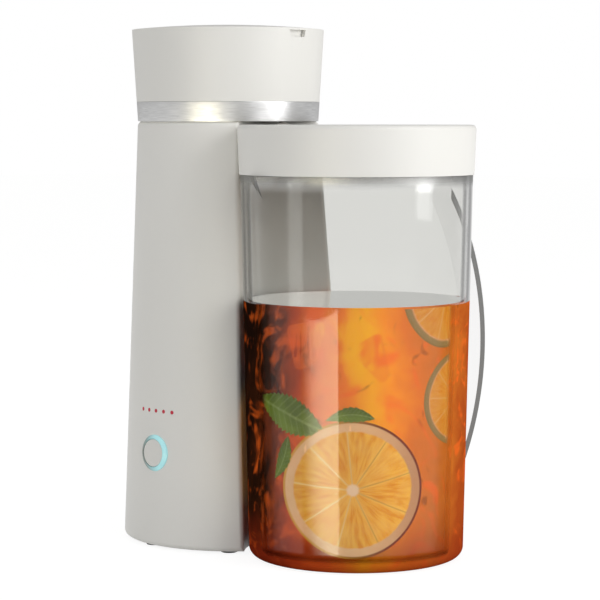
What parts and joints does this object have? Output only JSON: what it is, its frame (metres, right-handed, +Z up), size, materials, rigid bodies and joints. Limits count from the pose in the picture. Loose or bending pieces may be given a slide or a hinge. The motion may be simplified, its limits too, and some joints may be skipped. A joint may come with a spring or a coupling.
{
  "type": "iced tea maker",
  "caption": "Counter-top iced tea maker: tapered brewing tower with a hinged lid, docked with a clear lidded pitcher of tea.",
  "frame": {"origin": "middle of the bounding box's underside, on the table that the tower and the pitcher stand on", "axes": "+X from the tower towards the pitcher, -Y the front with the button and the lights, +Z up"},
  "size_m": [0.2314, 0.162, 0.3047],
  "materials": {
    "warm_white_plastic": "satin",
    "brushed_band": "brushed",
    "steel": "satin",
    "clear_plastic": "clear",
    "dark_rubber": "matte",
    "silicone": "matte",
    "white_inner_plastic": "matte",
    "tea": "clear liquid",
    "citrus": "moist",
    "mint": "moist",
    "ice": "clear",
    "cast_aluminium": "cast",
    "circuit_board": "matte",
    "light_pipe_red": "lit",
    "ring_light": "lit",
    "button_plastic": "satin",
    "dark_plastic": "matte"
  },
  "bodies": {
    "tower": {"tower_shell": "warm_white_plastic", "tower_deck": "white_inner_plastic", "base_plate": "warm_white_plastic", "rubber_feet": "dark_rubber", "base_screws": "steel", "metal_band": "brushed_band", "head_housing": "warm_white_plastic", "head_screws": "steel", "hinge_pin": "steel", "brew_basket": "white_inner_plastic", "filter_screen": "steel", "outlet_nozzle": "white_inner_plastic", "valve_spring": "steel", "valve_cage": "white_inner_plastic", "water_tank": "white_inner_plastic", "tank_gasket": "silicone", "tank_screws": "steel", "tank_hose": "silicone", "check_valve": "white_inner_plastic", "heater_inlet_hose": "silicone", "heater_outlet_hose": "silicone", "riser_tube": "white_inner_plastic", "riser_seal": "silicone", "heater_casting": "cast_aluminium", "heater_tube": "cast_aluminium", "heating_element": "steel", "heater_pads": "silicone", "heater_screws": "steel", "thermostat": "dark_plastic", "thermal_fuse": "steel", "control_board": "circuit_board", "board_screws": "steel", "led_lights": "light_pipe_red", "light_ring": "ring_light", "button_guide": "white_inner_plastic", "push_switch": "dark_plastic", "cord_grommet": "dark_rubber", "terminal_block": "white_inner_plastic"},
    "head_lid": {"head_lid": "warm_white_plastic", "spray_plate": "white_inner_plastic"},
    "power_button": {"power_button": "button_plastic", "switch_plunger": "dark_plastic"},
    "drip_valve": {"drip_valve": "silicone"},
    "pitcher": {"jug": "clear_plastic", "jug_handle": "clear_plastic", "iced_tea": "tea", "citrus_slices": "citrus", "mint_leaves": "mint", "ice_cubes": "ice"},
    "pitcher_lid": {"pitcher_lid": "warm_white_plastic", "cap_gasket": "silicone"}
  },
  "joints": [
    {"name": "head_lid_hinge", "type": "hinge", "parent": "tower", "child": "head_lid", "pos_m": [-0.1131, -0.01261, 0.2993], "axis": [0, -1, 0], "range_deg": [0, 100]},
    {"name": "power_button_press", "type": "slide", "parent": "tower", "child": "power_button", "axis": [0.0397, 0.9977, -0.0548], "range_m": [0, 0.0012], "stiffness_N_per_m": 1500},
    {"name": "pitcher_slide", "type": "slide", "parent": "tower", "child": "pitcher", "axis": [1, 0, 0], "range_m": [0, 0.16]},
    {"name": "pitcher_lid_twist", "type": "hinge", "parent": "pitcher", "child": "pitcher_lid", "pos_m": [0.048, -0.01261, 0.23], "axis": [0, 0, 1], "range_deg": [0, 50]},
    {"name": "drip_valve_drop", "type": "slide", "parent": "tower", "child": "drip_valve", "axis": [0, 0, 1], "range_m": [-0.0019, 0], "deforming": ["valve_spring"]}
  ],
  "couplings": [
    {"joint": "drip_valve_drop", "follows": "pitcher_slide", "ratio": -0.0118}
  ]
}
